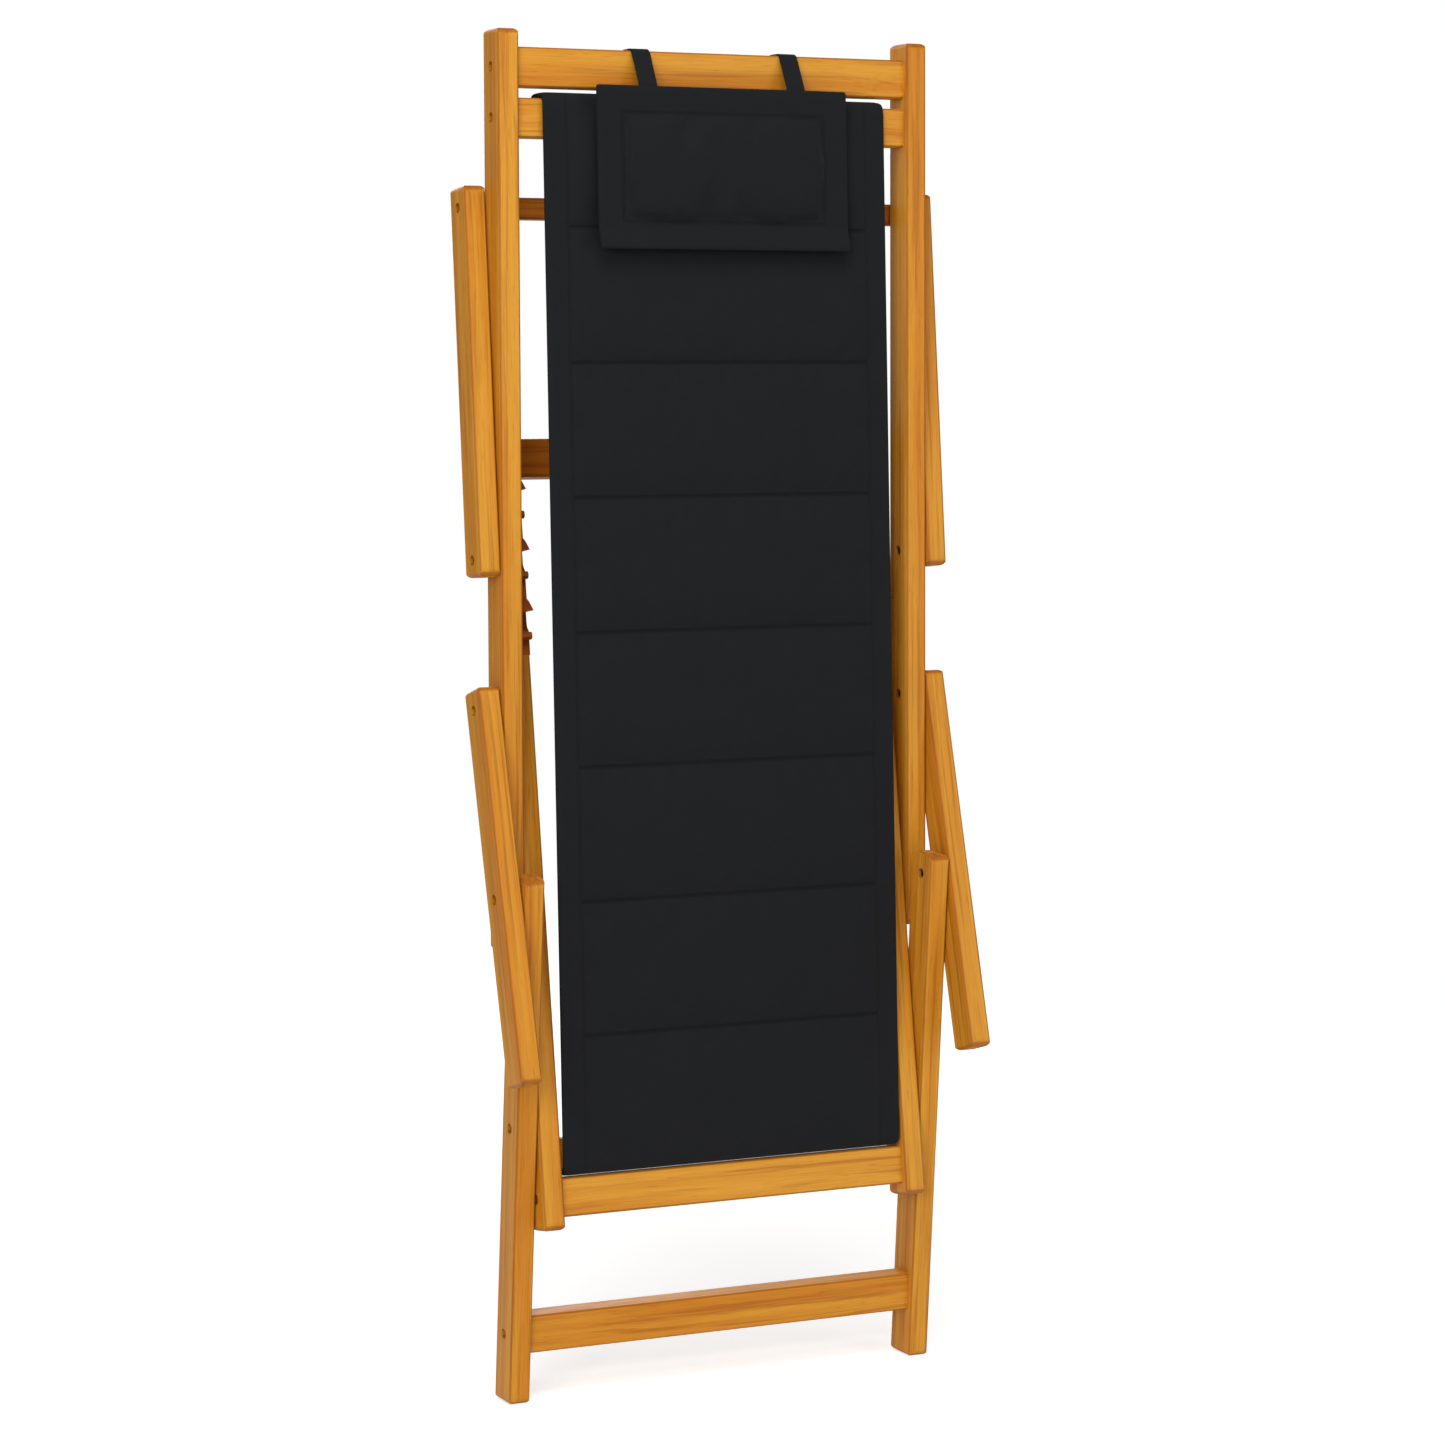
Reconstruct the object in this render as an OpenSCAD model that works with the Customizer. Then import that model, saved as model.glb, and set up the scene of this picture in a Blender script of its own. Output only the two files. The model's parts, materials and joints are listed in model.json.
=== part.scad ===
// Folding wooden deck chair with a padded sling, modelled folded flat and standing on its front legs.
// +Y points to the back and +Z points up. Left and right are those of someone facing the front,
// so +X points to the right.
// The origin is on the floor, under the middle of the folded chair.
// Lengths are in millimetres. Side views are drawn as [y, z] points, and a lean is counted
// in degrees from upright, positive where the top leans towards the back.

/* [Timber] */
// Width over the outer faces of the armrests
overall_w = 600; // [560:5:660]
// Thickness of every long rail, across the chair
rail_w = 26; // [24:1:28]
// Depth of every long rail, seen from the side
rail_d = 45; // [42:1:48]
// Rounding along the edges of the timber
edge_r = 3.5; // [2:0.5:5]
// Rounding of the rail ends, seen from the side
end_r = 10; // [8:1:16]
// Rounding of the rail ends, seen from the front
end_front_r = 6; // [5:1:11]
// Height of a cross rail
cross_h = 45; // [42:1:46]
// Depth of a cross rail
cross_d = 28; // [24:1:32]

/* [Back frame] */
// Length of a back rail above the seat hinge
back_above = 1023; // [1000:1:1060]
// Length of a back rail below the seat hinge
back_below = 24; // [20:1:30]
// Seat hinge to armrest pivot, along the back rail
back_to_arm = 253; // [251:1:256]
// Seat hinge to prop pivot, along the back rail
back_to_prop = 424; // [420:1:430]
// Seat hinge to the middle of the head rail
head_rail_at = 980.5; // [975:0.5:985]
// Seat hinge to the middle of the rail that carries the top of the sling
sling_rail_at = 923.5; // [918:0.5:926]
// Lean of the back rails when folded
back_lean = 0.5; // [0:0.1:1]

/* [Seat frame] */
// Length of a seat rail behind the seat hinge
seat_behind = 588; // [575:1:600]
// Length of a seat rail in front of the seat hinge
seat_front = 346; // [342:1:350]
// Seat hinge to leg pivot, along the seat rail
seat_to_leg = 226.7; // [224:0.1:229]
// Seat hinge to the middle of the visible knee rail
knee_rail_at = 309.5; // [307:0.5:311]
// Seat hinge to the middle of the rail that carries the bottom of the sling
sling_knee_at = 260; // [256:0.5:260]
// Height of the rail that carries the bottom of the sling
sling_knee_h = 36; // [30:1:38]
// Seat hinge to the middle of the rear cross rail
rear_rail_at = 542; // [538:1:548]
// Lean of the seat rails when folded
seat_lean = 8.7; // [8.2:0.1:9.2]

/* [Adjustment racks] */
// Seat hinge to the notch that holds the back most upright
notch_first = 351; // [348:1:354]
// Distance from one notch to the next
notch_pitch = 70; // [66:1:72]
// How far a hook stands out from the rail's edge
hook_rise = 18; // [14:1:20]
// How far the small tooth of a notch stands out from the rail's edge
tooth_rise = 10; // [8:1:12]
// How deep a notch cuts below the rail's edge
notch_sink = 5; // [3:1:6]
// How deep the rack is let into the rail
rack_inlet = 12; // [10:1:14]

/* [Front legs, armrests and prop] */
// Leg pivot to armrest pivot, along the leg
leg_link = 268.4; // [267:0.1:270]
// Length of a leg beyond the armrest pivot
leg_above = 24.5; // [20:0.5:28]
// Leg pivot to the floor, along the leg
leg_below = 324; // [318:1:330]
// Leg pivot to the middle of the stretcher
stretcher_at = 243.5; // [238:0.5:250]
// Back pivot to leg pivot, along the armrest
arm_link = 217.7; // [216:0.1:219]
// Length of an armrest from the back pivot to its rounded rear end
arm_behind = 24.5; // [20:0.5:28]
// Length of an armrest from the back pivot to its front end
arm_front = 430; // [420:1:440]
// Pivot to bar, along the prop arm
prop_link = 400.7; // [399:0.1:402]
// Length of a prop arm beyond the bar
prop_above = 24; // [20:1:28]
// Length of a prop arm beyond its pivot
prop_below = 19.5; // [18:0.5:24]
// Width of the prop bar, along the prop arms
bar_h = 25; // [22:1:26]
// Thickness of the prop bar
bar_t = 16; // [14:1:17]
// Lean of the prop arms when folded
prop_lean = 5.6; // [5.3:0.1:6]

/* [Sling and pillow] */
// Width of the sling
sling_w = 436; // [420:2:436]
// Thickness of the padded sling
sling_t = 8; // [6:0.5:8]
// Width of the head pillow
pillow_w = 318; // [300:2:330]
// Height of the head pillow
pillow_h = 186; // [180:2:196]
// Thickness of the filled middle of the pillow
pillow_t = 28; // [22:1:30]
// Width of the flat border around the pillow
pillow_border = 31; // [26:1:34]
// Distance of each pillow strap from the middle of the chair
strap_x = 94; // [80:1:110]
// Width of a pillow strap
strap_w = 23; // [20:1:26]

/* [Hidden] */
$fn = 48;

LEFT = -1;
RIGHT = 1;
wood = "#c8882f";
wood_dark = "#b87426";
cloth = "#222426";
steel = "#8d8f92";

// The rails lie in three layers on each side, with a washer's gap between them.
layer_gap = 1;
outer_x = overall_w / 2 - rail_w;
middle_x = outer_x - layer_gap - rail_w;
inner_x = middle_x - layer_gap - rail_w;

// Fasteners
hole_d = 12;
hole_deep = 8;
head_d = 11;
head_t = 4;
bolt_d = 6;
socket_af = 5;
socket_deep = 2.5;
washer_d = 18;
washer_t = 0.8;
nut_t = 5;
screw_d = 5;
screw_bite = 40;
screw_head_d = 10;
screw_head_t = 3;
rack_screw_d = 4;
rack_head_d = 8;
rack_head_t = 2.5;
rack_screw_len = 32;
slot_w = 1.2;
slot_deep = 1.2;
running = 0.05;
far = 2000;

// Clearances of the soft parts
skin = 0.5;
strap_t = 2.5;
sling_gap_above = 48;
sling_gap_below = 47;
wrap_r = 10;
pillow_edge_r = 6;
pillow_panel_r = 12;

// A unit step [y, z] up a member with the given lean, and one from its front to its back
function up(lean) = [sin(lean), cos(lean)];
function back(lean) = [cos(lean), -sin(lean)];
// The point [y, z] that lies s along and d to the rear of a member's centre line through p
function on(p, lean, s, d = 0) = p + s * up(lean) + d * back(lean);
function lean_of(low, high) = atan2(high[0] - low[0], high[1] - low[1]);
// The forward one of the two points at distance a from p and b from q
function meet(p, a, q, b) =
    let (gap = norm(q - p), along = (a * a - b * b + gap * gap) / (2 * gap), out = sqrt(a * a - along * along),
         step = (q - p) / gap)
    p + along * step + out * [-step[1], step[0]];

// The linkage, first drawn with the seat hinge at [0, 0]
arm_raw = on([0, 0], back_lean, back_to_arm);
leg_raw = on([0, 0], seat_lean, -seat_to_leg);
open_raw = meet(leg_raw, leg_link, arm_raw, arm_link);
leg_lean = lean_of(leg_raw, open_raw);
arm_lean = lean_of(open_raw, arm_raw);

// Its shift: feet on the floor, and the front and back extremes equally far from the origin
corner = rail_d / 2 - end_r;
front_most = on(arm_raw, arm_lean, -(arm_front - end_r), -corner)[0] - end_r;
rear_most = on([0, 0], seat_lean, seat_behind - end_r, corner)[0] + end_r;
hinge = [-(front_most + rear_most) / 2, leg_below * cos(leg_lean) - leg_raw[1]];

leg_pivot = hinge + leg_raw;
arm_pivot = hinge + arm_raw;
open_pivot = hinge + open_raw;
prop_pivot = on(hinge, back_lean, back_to_prop);
bar_at = on(prop_pivot, prop_lean, prop_link);
foot_at = on(leg_pivot, leg_lean, -leg_below);
head_at = on(hinge, back_lean, head_rail_at);
sling_head_at = on(hinge, back_lean, sling_rail_at);
knee_at = on(hinge, seat_lean, -knee_rail_at);
sling_foot_at = on(hinge, seat_lean, -sling_knee_at);
rear_at = on(hinge, seat_lean, rear_rail_at);
stretcher_mid = on(leg_pivot, leg_lean, -stretcher_at);

// The sling's front face runs straight from the sling head rail to the sling knee rail.
sling_off = cross_d / 2 + skin + sling_t;
sling_top = on(sling_head_at, back_lean, 0, -sling_off);
sling_low = on(sling_foot_at, seat_lean, 0, -sling_off);
sling_lean = lean_of(sling_low, sling_top);

// The racks: each notch is open to the front, flat above, and round below where it runs out into its tooth.
bar_edge_r = 4;
notch_half = 11.8;
notch_round = 11;
notch_floor = -rail_d / 2 + notch_sink;
notches = [for (i = [0:2]) notch_first + i * notch_pitch];
hook_len = 15;
tooth_len = 9;
rack_margin = 38;
rack_low = notch_first - rack_margin;
rack_high = notches[2] + rack_margin;
rack_screw_shift = 2;
rack_screw_s = [for (i = [0:1]) notches[i] + notch_pitch / 2 + rack_screw_shift];

// ---- shapes ----

// A rectangle with round corners, centred on the origin
module round_rect(size, r) {
    square([size[0] - 2 * r, size[1]], center = true);
    square([size[0], size[1] - 2 * r], center = true);
    for (x = [-1, 1], y = [-1, 1]) translate([x * (size[0] / 2 - r), y * (size[1] / 2 - r)]) circle(r);
}

// Draws a [y, z] outline, and makes it a solid from x0 to x1
module across(x0, x1) {
    translate([x0, 0, 0]) rotate([90, 0, 90]) linear_extrude(x1 - x0) children();
}

// Puts a solid or an outline that stands on the origin at p, with a lean
module stand(p, lean) {
    translate([0, p[0], p[1]]) rotate([-lean, 0, 0]) children();
}
module stand_2d(p, lean) {
    translate(p) rotate(-lean) children();
}

// A hole or a round bar across the chair
module drill(p, x0, x1, d) {
    translate([x0, p[0], p[1]]) rotate([0, 90, 0]) cylinder(h = x1 - x0, d = d);
}

// The right one as drawn, or its mirror image on the left
module on_side(side) {
    mirror([side == LEFT ? 1 : 0, 0, 0]) children();
}
module both_sides() {
    for (side = [LEFT, RIGHT]) on_side(side) children();
}

// A long rail from z = -low to z = high, with its ends rounded in both views
module rail(x0, low, high) {
    mid = (high - low) / 2;
    length = low + high;
    intersection() {
        across(x0, x0 + rail_w) translate([0, mid]) round_rect([rail_d, length], end_r);
        translate([x0 + rail_w / 2, rail_d, mid]) rotate([90, 0, 0])
            linear_extrude(2 * rail_d) round_rect([rail_w, length], end_front_r);
        translate([x0 + rail_w / 2, 0, -low - 1])
            linear_extrude(length + 2) round_rect([rail_w, rail_d], edge_r);
    }
}

// A cross rail between two side rails whose inner faces are at +half and -half
module cross_rail(p, lean, half, h) {
    difference() {
        stand(p, lean) across(-half, half) round_rect([cross_d, h], edge_r);
        both_sides() drill(p, half - screw_bite - 1, half + 1, screw_d + 2 * running);
    }
}

// The hole of a screw that joins a cross rail to a side rail whose inner face is at x0
module screw_hole(p, x0) {
    drill(p, x0 - 1, x0 + rail_w + 1, screw_d + 2 * running);
    drill(p, x0 + rail_w - hole_deep, x0 + rail_w + 1, hole_d);
}
module wood_screw(p, x0) {
    seat = x0 + rail_w - hole_deep;
    color(steel) difference() {
        union() {
            drill(p, x0 - screw_bite, seat + 0.01, screw_d);
            drill(p, seat, seat + screw_head_t, screw_head_d);
        }
        for (turn = [0, 90])
            translate([seat + screw_head_t - slot_deep / 2, p[0], p[1]]) rotate([turn, 0, 0])
                cube([slot_deep + 0.01, screw_head_d * 0.6, slot_w], center = true);
    }
}

// The hole that a pivot bolt needs in one rail, sunk at its inner or its outer face
module pivot_hole(p, x0, sink_outer) {
    drill(p, x0 - 1, x0 + rail_w + 1, bolt_d + 2 * running);
    if (sink_outer) drill(p, x0 + rail_w - hole_deep, x0 + rail_w + 1, hole_d);
    else drill(p, x0 - 1, x0 + hole_deep, hole_d);
}
// A bolt with its head sunk in the rail whose outer face is at x1 and its end at x0
module pivot_bolt(p, x0, x1) {
    seat = x1 - hole_deep;
    color(steel) difference() {
        union() {
            drill(p, x0, seat + 0.01, bolt_d);
            drill(p, seat, seat + head_t, head_d);
        }
        translate([seat + head_t - socket_deep, p[0], p[1]]) rotate([0, 90, 0])
            cylinder(h = socket_deep + 1, d = socket_af / cos(30), $fn = 6);
    }
}
// The round nut sunk in the rail whose inner face is at x0
module pivot_nut(p, x0) {
    color(steel) difference() {
        drill(p, x0 + hole_deep - nut_t, x0 + hole_deep, head_d);
        drill(p, x0, x0 + hole_deep + 1, bolt_d + 2 * running);
    }
}
// The washer between the rail whose inner face is at x0 and the one inside it
module washer(p, x0) {
    color(steel) difference() {
        drill(p, x0 - (layer_gap + washer_t) / 2, x0 - (layer_gap - washer_t) / 2, washer_d);
        drill(p, x0 - layer_gap, x0, bolt_d + 0.4);
    }
}

// ---- back frame ----

module back_rail(side) {
    color(wood) on_side(side) difference() {
        stand(hinge, back_lean) rail(middle_x, back_below, back_above);
        pivot_hole(hinge, middle_x, true);
        pivot_hole(arm_pivot, middle_x, false);
        pivot_hole(prop_pivot, middle_x, false);
        screw_hole(head_at, middle_x);
        screw_hole(sling_head_at, middle_x);
    }
}
module head_rail() {
    color(wood) cross_rail(head_at, back_lean, middle_x, cross_h);
}
module sling_head_rail() {
    color(wood) cross_rail(sling_head_at, back_lean, middle_x, cross_h);
}
module back_screws() {
    both_sides() for (p = [head_at, sling_head_at]) wood_screw(p, middle_x);
}
// The seat hinge bolt joins the middle and inner layers, and the other two the outer and middle layers.
module back_pivot_bolts() {
    both_sides() {
        pivot_bolt(hinge, inner_x + hole_deep - nut_t, middle_x + rail_w);
        for (p = [arm_pivot, prop_pivot]) pivot_bolt(p, middle_x + hole_deep - nut_t, outer_x + rail_w);
    }
}
module back_pivot_nuts() {
    both_sides() {
        pivot_nut(hinge, inner_x);
        for (p = [arm_pivot, prop_pivot]) pivot_nut(p, middle_x);
    }
}
module back_washers() {
    both_sides() {
        washer(hinge, middle_x);
        for (p = [arm_pivot, prop_pivot]) washer(p, outer_x);
    }
}

// ---- seat frame ----

module seat_rail(side) {
    color(wood) on_side(side) difference() {
        stand(hinge, seat_lean) difference() {
            rail(inner_x, seat_front, seat_behind);
            across(inner_x - 1, inner_x + rail_w + 1)
                translate([-rail_d / 2 - 1, rack_low]) square([rack_inlet + 1, rack_high - rack_low]);
            for (s = rack_screw_s) rack_screw_hole(s);
        }
        pivot_hole(hinge, inner_x, false);
        pivot_hole(leg_pivot, inner_x, false);
        for (p = [knee_at, sling_foot_at, rear_at]) screw_hole(p, inner_x);
    }
}
module knee_rail() {
    color(wood) cross_rail(knee_at, seat_lean, inner_x, cross_h);
}
module sling_knee_rail() {
    color(wood) cross_rail(sling_foot_at, seat_lean, inner_x, sling_knee_h);
}
module rear_cross_rail() {
    color(wood_dark) cross_rail(rear_at, seat_lean, inner_x, cross_h);
}
module seat_screws() {
    both_sides() for (p = [knee_at, sling_foot_at, rear_at]) wood_screw(p, inner_x);
}

// A hook's back slopes down to its tip in a slight curve, and its underside is the notch's upper wall.
module hook_outline(s) {
    polygon(concat(
        [for (t = [0:0.125:1]) [-rail_d / 2 - hook_rise * t, s + notch_half + hook_len * (1 - pow(t, 1.3))]],
        [[-rail_d / 2, s + notch_half]]
    ));
}
module tooth_outline(s) {
    tip = tooth_len / 2;
    translate([-rail_d / 2 - tooth_rise + tip, s - notch_half - tip]) circle(tip);
    translate([-rail_d / 2 - tooth_rise + tip, s - notch_half - tooth_len]) square([tooth_rise - tip + 1, tooth_len]);
}
module notch_outline(s) {
    difference() {
        translate([-rail_d, s - notch_half]) square([rail_d + notch_floor, 2 * notch_half]);
        translate([notch_floor - notch_round, s - notch_half]) difference() {
            translate([0, -1]) square([notch_round + 1, notch_round + 1]);
            translate([0, notch_round]) circle(notch_round);
        }
    }
}
module rack_outline() {
    difference() {
        union() {
            translate([-rail_d / 2, rack_low]) square([rack_inlet, rack_high - rack_low]);
            for (s = notches) {
                hook_outline(s);
                tooth_outline(s);
            }
        }
        for (s = notches) notch_outline(s);
    }
}
module rack_screw_hole(s) {
    translate([inner_x + rail_w / 2, -rail_d / 2 - 1, s]) rotate([-90, 0, 0]) {
        cylinder(h = rack_screw_len + 4, d = rack_screw_d + 2 * running);
        cylinder(h = 1 + rack_head_t + 1, d = rack_head_d + 1);
    }
}
module notch_rack(side) {
    color(wood_dark) on_side(side) stand(hinge, seat_lean) difference() {
        across(inner_x, inner_x + rail_w) rack_outline();
        for (s = rack_screw_s) rack_screw_hole(s);
    }
}
module rack_screws() {
    color(steel) both_sides() stand(hinge, seat_lean) for (s = rack_screw_s)
        translate([inner_x + rail_w / 2, -rail_d / 2 + 1, s]) rotate([-90, 0, 0]) difference() {
            union() {
                cylinder(h = rack_head_t, d = rack_head_d);
                cylinder(h = rack_screw_len, d = rack_screw_d);
            }
            translate([0, 0, slot_deep / 2]) cube([rack_head_d * 0.6, slot_w, slot_deep + 0.01], center = true);
        }
}
module leg_pivot_bolts() {
    both_sides() pivot_bolt(leg_pivot, inner_x + hole_deep - nut_t, middle_x + rail_w);
}
module leg_pivot_nuts() {
    both_sides() pivot_nut(leg_pivot, inner_x);
}
module leg_washers() {
    both_sides() washer(leg_pivot, middle_x);
}

// ---- front leg frame ----

// The leg seen from the side: its foot is cut level with the floor and eased at both corners.
foot_ease = 6;
module leg_outline() {
    half = rail_d / 2 / cos(leg_lean);
    difference() {
        stand_2d(leg_pivot, leg_lean) translate([0, (leg_link + leg_above - leg_below) / 2 - rail_d / 2])
            round_rect([rail_d, leg_link + leg_above + leg_below + rail_d], end_r);
        translate([-far / 2, -far]) square([far, far]);
        for (s = [-1, 1]) translate([foot_at[0] + s * half, 0]) mirror([s < 0 ? 0 : 1, 0]) difference() {
            translate([-foot_ease, 0]) square([2 * foot_ease, foot_ease]);
            translate([foot_ease, foot_ease]) circle(foot_ease);
        }
    }
}
module front_leg(side) {
    top = leg_link + leg_above;
    color(wood) on_side(side) difference() {
        intersection() {
            across(middle_x, middle_x + rail_w) leg_outline();
            stand(leg_pivot, leg_lean) translate([middle_x + rail_w / 2, far / 2, top - far / 2])
                rotate([90, 0, 0]) linear_extrude(far) round_rect([rail_w, far], end_front_r);
            translate([middle_x + rail_w / 2, far / 2, far / 2]) rotate([90, 0, 0])
                linear_extrude(far) round_rect([rail_w, far], foot_ease);
            stand(leg_pivot, leg_lean) translate([middle_x + rail_w / 2, 0, -far / 2])
                linear_extrude(far) round_rect([rail_w, rail_d], edge_r);
        }
        pivot_hole(leg_pivot, middle_x, true);
        pivot_hole(open_pivot, middle_x, false);
        screw_hole(stretcher_mid, middle_x);
    }
}
module leg_stretcher() {
    color(wood) cross_rail(stretcher_mid, leg_lean, middle_x, cross_h);
}
module leg_screws() {
    both_sides() wood_screw(stretcher_mid, middle_x);
}
// The half of the armrest pivot that stays in the leg
module arm_sleeve_nuts() {
    both_sides() color(steel) difference() {
        union() {
            drill(open_pivot, middle_x + hole_deep - nut_t, middle_x + hole_deep, head_d);
            drill(open_pivot, middle_x + hole_deep - 0.01, middle_x + rail_w, bolt_d);
        }
        translate([middle_x + hole_deep - nut_t - 1, open_pivot[0], open_pivot[1]]) rotate([0, 90, 0])
            cylinder(h = socket_deep + 1, d = socket_af / cos(30), $fn = 6);
    }
}

// ---- armrests ----

module armrest(side) {
    color(wood) on_side(side) difference() {
        stand(arm_pivot, arm_lean) rail(outer_x, arm_front, arm_behind);
        pivot_hole(arm_pivot, outer_x, true);
        pivot_hole(open_pivot, outer_x, true);
    }
}
// The half of the armrest pivot that stays in the armrest
module armrest_bolt(side) {
    on_side(side) pivot_bolt(open_pivot, outer_x, outer_x + rail_w);
}
module armrest_washer(side) {
    on_side(side) washer(open_pivot, outer_x);
}

// ---- prop frame ----

module prop_arm(side) {
    color(wood) on_side(side) difference() {
        stand(prop_pivot, prop_lean) rail(outer_x, prop_below, prop_link + prop_above);
        pivot_hole(prop_pivot, outer_x, true);
        screw_hole(bar_at, outer_x);
    }
}
module prop_bar() {
    color(wood_dark) difference() {
        across(-outer_x, outer_x) stand_2d(bar_at, prop_lean) round_rect([bar_t, bar_h], bar_edge_r);
        both_sides() drill(bar_at, outer_x - screw_bite - 1, outer_x + 1, screw_d + 2 * running);
    }
}
module prop_screws() {
    both_sides() wood_screw(bar_at, outer_x);
}

// ---- sling and pillow ----

// The turn of cloth over a cross rail of height h: open at the bottom, with a flap behind
module wrap_outline(h) {
    over = 2 * (skin + sling_t);
    difference() {
        round_rect([cross_d + over, h + over], wrap_r);
        round_rect([cross_d + 2 * skin, h + 2 * skin], edge_r);
        translate([-far / 2, -far - h / 4]) square([far, far]);
    }
}
// The flat stretch of the sling between two heights along its front face
module panel_outline(low, high) {
    stand_2d(sling_low, sling_lean) translate([0, low]) square([sling_t, high - low]);
}
sling_run = norm(sling_top - sling_low);
crease = (hinge[1] - sling_low[1]) / cos(sling_lean);

module sling_back() {
    color(cloth) across(-sling_w / 2, sling_w / 2) {
        stand_2d(sling_head_at, back_lean) wrap_outline(cross_h);
        panel_outline(crease + sling_gap_above, sling_run);
    }
}
module sling_seat() {
    color(cloth) across(-sling_w / 2, sling_w / 2) {
        stand_2d(sling_foot_at, seat_lean) mirror([0, 1]) wrap_outline(sling_knee_h);
        panel_outline(0, crease - sling_gap_below);
    }
}

// The pillow hangs in front of the sling, with its flat border at half its thickness.
pillow_top = 38;
border_t = 6;
module pillow() {
    mid_s = sling_run + pillow_top - pillow_h / 2;
    color(cloth) stand(on(sling_low, sling_lean, mid_s, -skin - pillow_t / 2), sling_lean) rotate([90, 0, 0]) {
        translate([0, 0, -border_t / 2]) linear_extrude(border_t) round_rect([pillow_w, pillow_h], pillow_edge_r);
        translate([0, 0, -pillow_t / 2]) linear_extrude(pillow_t)
            round_rect([pillow_w - 2 * pillow_border, pillow_h - 2 * pillow_border], pillow_panel_r);
    }
}

// A strap runs from the pillow's border up to the head rail, over its top and down its back.
module pillow_strap(side) {
    band = 2 * (skin + strap_t);
    reach_y = cross_d / 2 + skin;
    reach_z = cross_h / 2 + skin;
    anchor = on(sling_low, sling_lean, sling_run + pillow_top + skin, -skin - pillow_t / 2);
    low = anchor - head_at;
    foot = [low * back(back_lean), low * up(back_lean)];
    color(cloth) across(side * strap_x - strap_w / 2, side * strap_x + strap_w / 2)
        stand_2d(head_at, back_lean) {
            difference() {
                round_rect([cross_d + band, cross_h + band], edge_r + strap_t);
                round_rect([cross_d + 2 * skin, cross_h + 2 * skin], edge_r);
                translate([-far, -far]) square([far, far + reach_z - edge_r]);
                translate([-far / 2, -far - cross_h / 4]) square([far, far]);
            }
            polygon([
                [-reach_y, reach_z - edge_r], [-reach_y - strap_t, reach_z - edge_r],
                foot + [-strap_t / 2, 0], foot + [strap_t / 2, 0]
            ]);
        }
}

back_rail(LEFT);  // back_rail_left
back_rail(RIGHT);  // back_rail_right
head_rail();
sling_head_rail();
back_screws();
back_pivot_bolts();
back_pivot_nuts();
back_washers();
seat_rail(LEFT);  // seat_rail_left
seat_rail(RIGHT);  // seat_rail_right
knee_rail();
sling_knee_rail();
rear_cross_rail();
notch_rack(LEFT);  // notch_rack_left
notch_rack(RIGHT);  // notch_rack_right
rack_screws();
seat_screws();
leg_pivot_bolts();
leg_pivot_nuts();
leg_washers();
front_leg(LEFT);  // front_leg_left
front_leg(RIGHT);  // front_leg_right
leg_stretcher();
leg_screws();
arm_sleeve_nuts();
armrest(LEFT);  // armrest_left
armrest_bolt(LEFT);  // armrest_left_bolt
armrest_washer(LEFT);  // armrest_left_washer
armrest(RIGHT);  // armrest_right
armrest_bolt(RIGHT);  // armrest_right_bolt
armrest_washer(RIGHT);  // armrest_right_washer
prop_arm(LEFT);  // prop_arm_left
prop_arm(RIGHT);  // prop_arm_right
prop_bar();
prop_screws();
sling_back();
sling_seat();
pillow();
pillow_strap(LEFT);  // pillow_strap_left
pillow_strap(RIGHT);  // pillow_strap_right
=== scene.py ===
"""Folding wooden deck chair, folded flat: timber, quilted sling, head pillow and its straps.

Everything is in metres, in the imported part's own frame: +X to the right seen from the front,
+Y to the back, +Z up. In a side view a point is a pair (y, z).
"""

import json
import math

import bpy
import numpy as np
from mathutils import Matrix, Vector


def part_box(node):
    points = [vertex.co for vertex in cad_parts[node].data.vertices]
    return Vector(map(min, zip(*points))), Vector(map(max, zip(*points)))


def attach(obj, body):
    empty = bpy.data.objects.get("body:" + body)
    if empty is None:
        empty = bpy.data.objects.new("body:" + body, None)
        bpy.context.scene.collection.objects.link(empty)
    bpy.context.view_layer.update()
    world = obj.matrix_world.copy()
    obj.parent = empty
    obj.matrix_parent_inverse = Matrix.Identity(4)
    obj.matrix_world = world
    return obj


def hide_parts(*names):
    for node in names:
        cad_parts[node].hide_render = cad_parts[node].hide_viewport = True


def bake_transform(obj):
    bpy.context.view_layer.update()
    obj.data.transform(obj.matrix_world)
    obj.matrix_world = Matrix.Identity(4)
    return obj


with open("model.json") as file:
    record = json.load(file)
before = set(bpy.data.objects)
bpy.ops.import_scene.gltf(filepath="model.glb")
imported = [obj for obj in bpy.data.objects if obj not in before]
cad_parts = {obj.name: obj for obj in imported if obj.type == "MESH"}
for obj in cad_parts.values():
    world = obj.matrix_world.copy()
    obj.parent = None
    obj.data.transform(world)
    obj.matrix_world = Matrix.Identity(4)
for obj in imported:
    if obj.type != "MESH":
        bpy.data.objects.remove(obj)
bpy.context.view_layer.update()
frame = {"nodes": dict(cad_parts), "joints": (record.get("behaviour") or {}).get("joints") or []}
MM = 0.001

# ---- where the frame's own parts are ----

joint_at = {j["name"]: Vector(j["pos_m"]) for j in frame["joints"]}


def middle(node):
    low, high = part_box(node)
    return (low + high) / 2


def lean_between(low, high):
    """Degrees from upright of the line between two points, positive where its top is further back."""
    return math.degrees(math.atan2(high.y - low.y, high.z - low.z))


open_pivot = middle("arm_sleeve_nuts")
LEAN = {
    "back": lean_between(joint_at["seat_fold"], joint_at["armrest_left_fold"]),
    "seat": lean_between(joint_at["front_leg_fold"], joint_at["seat_fold"]),
    "leg": lean_between(joint_at["front_leg_fold"], open_pivot),
    "armrest": lean_between(open_pivot, joint_at["armrest_left_fold"]),
    "prop": lean_between(joint_at["prop_swing"], middle("prop_bar")),
}

# ---- camera ----

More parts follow.
